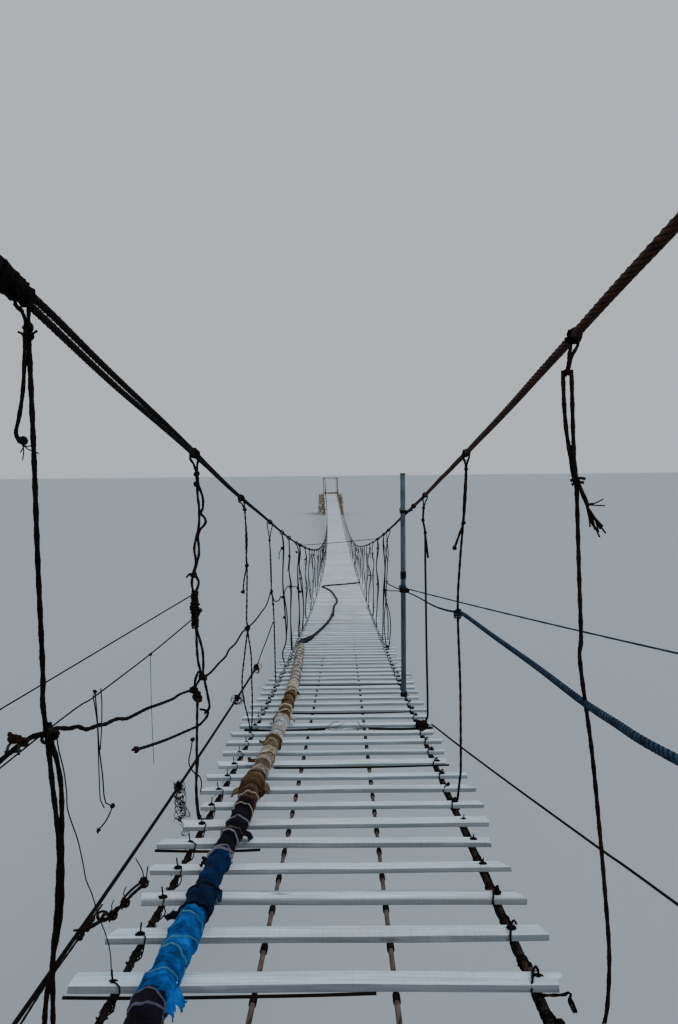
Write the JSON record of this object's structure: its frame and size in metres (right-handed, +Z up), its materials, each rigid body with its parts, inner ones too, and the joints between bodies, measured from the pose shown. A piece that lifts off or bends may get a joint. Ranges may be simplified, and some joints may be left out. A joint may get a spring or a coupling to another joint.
{
  "type": "rope suspension footbridge, 1:10 scale model",
  "caption": "Cable-hung rope footbridge with spaced pale plank treads, knotted wire hangers, hand cables and rubble end walls; 1:10 scale model.",
  "frame": {"origin": "middle of the floor area under the bridge, on the level that both end walls stand on", "axes": "+Y along the deck from the near end to the far end, +X to the right when walking that way, +Z up"},
  "size_m": [0.648, 9.72, 0.591],
  "materials": {
    "plank": "bleached, dusty, ragged sawn ends",
    "masonry": "rough dry-laid rubble",
    "timber": "weathered grey-brown",
    "cloth": "faded rags wound over wire, matt",
    "black_rope": "matt black",
    "blue_rope": "laid synthetic rope, matt",
    "blue_paint": "worn blue paint",
    "rusty_wire": "rusty twisted wire",
    "dark_wire": "dark oxidised twisted wire"
  },
  "bodies": {
    "root": {"anchor_stake": "rusty_wire", "black_deck_rope": "black_rope", "blue_guy_line": "blue_rope", "blue_pole": "blue_paint", "cloth_wrapped_cable": "cloth", "deck_planks_01": "plank", "deck_planks_02": "plank", "deck_planks_03": "plank", "deck_planks_04": "plank", "deck_planks_05": "plank", "deck_planks_06": "plank", "deck_planks_07": "plank", "deck_planks_08": "plank", "deck_planks_09": "plank", "deck_planks_10": "plank", "deck_planks_11": "plank", "deck_planks_12": "plank", "far_abutment": "masonry", "far_anchor_beam": "timber", "far_cross_beam": "timber", "far_left_post": "timber", "far_right_post": "timber", "hand_cable_tie": "dark_wire", "left_deck_cable": "dark_wire", "left_hand_cable": "dark_wire", "left_hangers_1": "dark_wire", "left_hangers_2": "dark_wire", "left_hangers_3": "dark_wire", "left_hangers_4": "dark_wire", "left_inner_cable": "rusty_wire", "left_lower_guy": "dark_wire", "left_lower_stay": "dark_wire", "left_mid_rope": "dark_wire", "left_upper_guy": "dark_wire", "near_abutment": "masonry", "near_anchor_beam": "timber", "near_cross_beam": "timber", "near_left_post": "timber", "near_right_post": "timber", "right_deck_cable": "rusty_wire", "right_hand_cable": "rusty_wire", "right_hangers_1": "rusty_wire", "right_hangers_2": "rusty_wire", "right_hangers_3": "rusty_wire", "right_hangers_4": "rusty_wire", "right_inner_cable": "rusty_wire", "right_lower_stay": "dark_wire", "right_mid_rope": "blue_rope"}
  },
  "joints": []
}
